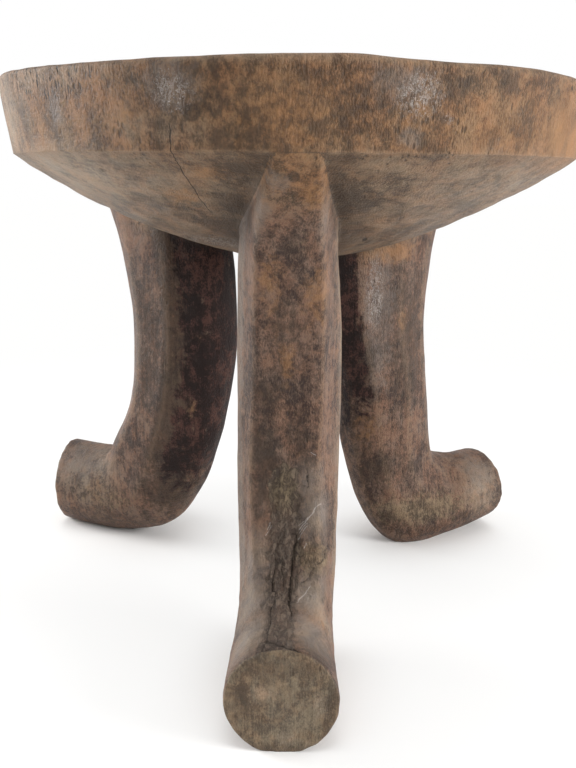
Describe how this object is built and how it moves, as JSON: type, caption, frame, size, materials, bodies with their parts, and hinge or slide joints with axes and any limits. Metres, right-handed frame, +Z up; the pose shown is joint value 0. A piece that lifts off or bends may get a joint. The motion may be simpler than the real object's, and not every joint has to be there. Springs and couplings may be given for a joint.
{
  "type": "three-legged stool",
  "caption": "Low round stool carved from one block of wood, with a dished seat, an upright rim band and heavy legs that turn outward into stubby feet.",
  "frame": {"origin": "on the floor, at the middle of the stool's outline seen from above; the seat's axis stands 6.7 mm to +X and 5.8 mm to +Y of it", "axes": "+Z up; -Y points along the front leg; +X is to the right of someone who faces the front leg"},
  "size_m": [0.3234, 0.3216, 0.292],
  "materials": {
    "rim_wood": "worn brown patina, satin",
    "leg_wood": "dark smoked patina, satin"
  },
  "bodies": {
    "root": {"seat": "rim_wood", "front_leg": "leg_wood", "rear_right_leg": "leg_wood", "rear_left_leg": "leg_wood"}
  },
  "joints": []
}
